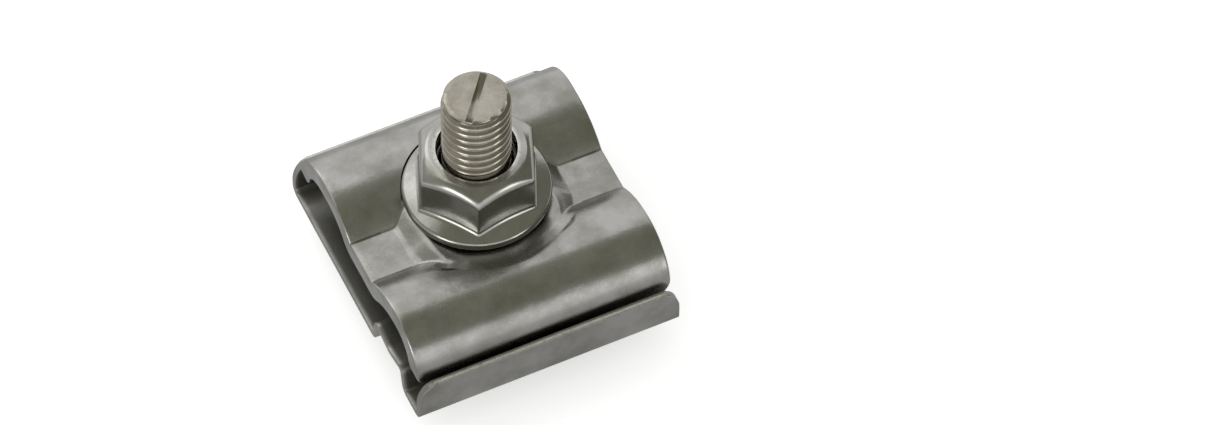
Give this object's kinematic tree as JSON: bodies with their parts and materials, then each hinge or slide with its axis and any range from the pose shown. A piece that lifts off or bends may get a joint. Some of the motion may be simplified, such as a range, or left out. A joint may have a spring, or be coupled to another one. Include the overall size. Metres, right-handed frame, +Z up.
{
  "type": "earthing clamp",
  "caption": "Two-plate earthing clamp on a hammer-head bolt with a flanged nut: a channel for a round conductor and one for a stranded cable.",
  "frame": {"origin": "on the bolt's axis, on the underside of its head, which the clamp stands on", "axes": "+X along the conductors, +Y from the bolt towards the round conductor's channel, +Z up the bolt"},
  "size_m": [0.04, 0.0435, 0.0397],
  "materials": {
    "sheet": "matt mill finish",
    "plate": "tumbled satin",
    "bolt": "pickled, slightly warm",
    "nut": "bright"
  },
  "bodies": {
    "bottom_plate": {"bottom_plate": "sheet"},
    "top_plate": {"top_plate": "plate"},
    "t_bolt": {"t_bolt": "bolt"},
    "flange_nut": {"flange_nut": "nut"}
  },
  "joints": [
    {"name": "bolt_swivel", "type": "hinge", "parent": "bottom_plate", "child": "t_bolt", "pos_m": [0, 0, 0], "axis": [0, 0, 1], "continuous": true},
    {"name": "plate_slide", "type": "slide", "parent": "bottom_plate", "child": "top_plate", "axis": [0, 0, 1], "range_m": [-0.00375, 0.01125]},
    {"name": "nut_turn", "type": "hinge", "parent": "top_plate", "child": "flange_nut", "pos_m": [0, 0, 0.018], "axis": [0, 0, 1], "range_deg": [-900, 2700]}
  ],
  "couplings": [
    {"joint": "nut_turn", "follows": "plate_slide", "rad_per_m": 4188.8}
  ]
}
